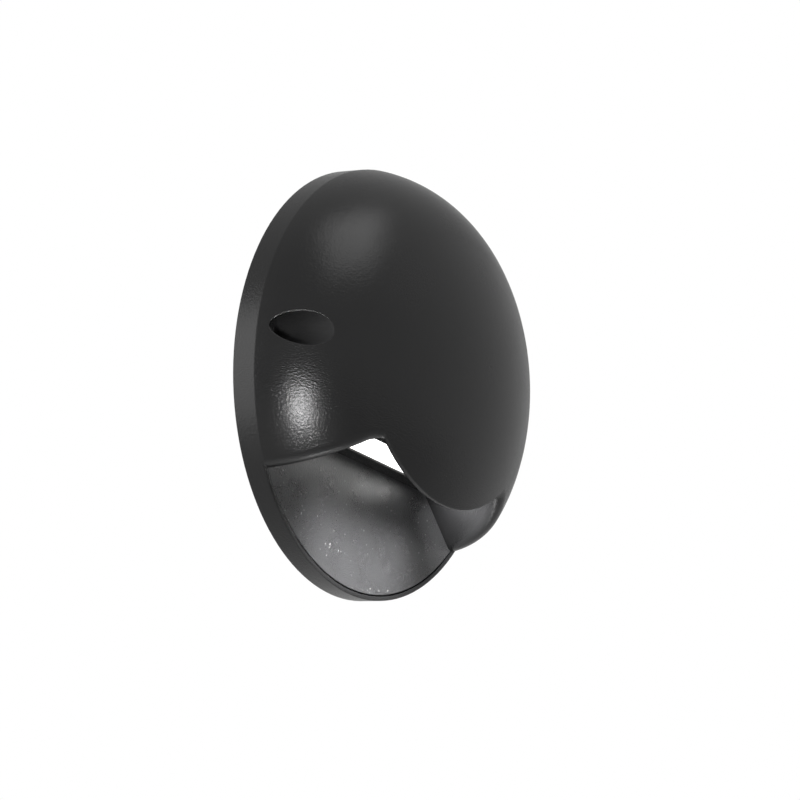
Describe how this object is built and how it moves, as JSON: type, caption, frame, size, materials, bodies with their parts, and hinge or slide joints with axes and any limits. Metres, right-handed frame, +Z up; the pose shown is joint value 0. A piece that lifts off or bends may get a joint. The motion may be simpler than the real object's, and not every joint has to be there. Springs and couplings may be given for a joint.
{
  "type": "wall light",
  "caption": "Round domed outdoor wall light whose hooded lower opening throws light downwards; screwed flat to a wall through recessed screw pockets.",
  "frame": {"origin": "centre of the wall face, midway between the two wall screw holes", "axes": "+X to the right as seen from the front, +Y into the wall (the light faces -Y), +Z up"},
  "size_m": [0.1, 0.0338, 0.1],
  "materials": {
    "powder_coat": "fine-textured black powder coat on cast aluminium",
    "seal_rubber": "black moulded rubber",
    "screw_steel": "plain stainless steel",
    "opal_lens": "opal diffusing plastic, lit",
    "reflector_white": "white moulded plastic",
    "led_board_white": "white solder mask on a metal core",
    "led_yellow": "phosphor under clear resin",
    "thermal_grey": "soft grey heat-conducting pad",
    "spreader_aluminium": "extruded, as drawn",
    "board_green": "green solder mask on laminate",
    "ferrite": "dark grey ferrite",
    "capacitor_sleeve": "dark shrink sleeve",
    "package_black": "black moulded package",
    "terminal_grey": "grey moulded plastic",
    "lead_red": "red insulation",
    "lead_black": "black insulation"
  },
  "bodies": {
    "root": {"dome_housing": "powder_coat", "base_plate": "powder_coat", "base_gasket": "seal_rubber", "base_screws": "screw_steel", "cable_grommet": "seal_rubber", "lens": "opal_lens", "lens_gasket": "seal_rubber", "reflector": "reflector_white", "led_board": "led_board_white", "leds": "led_yellow", "led_board_screws": "screw_steel", "thermal_pad": "thermal_grey", "heat_spreader": "spreader_aluminium", "heat_spreader_screws": "screw_steel", "driver_standoffs": "screw_steel", "driver_board": "board_green", "driver_screws": "screw_steel", "driver_choke": "ferrite", "driver_capacitors": "capacitor_sleeve", "driver_rectifier": "package_black", "driver_chip": "package_black", "terminal_block": "terminal_grey", "terminal_screws": "screw_steel", "positive_lead": "lead_red", "negative_lead": "lead_black"}
  },
  "joints": []
}
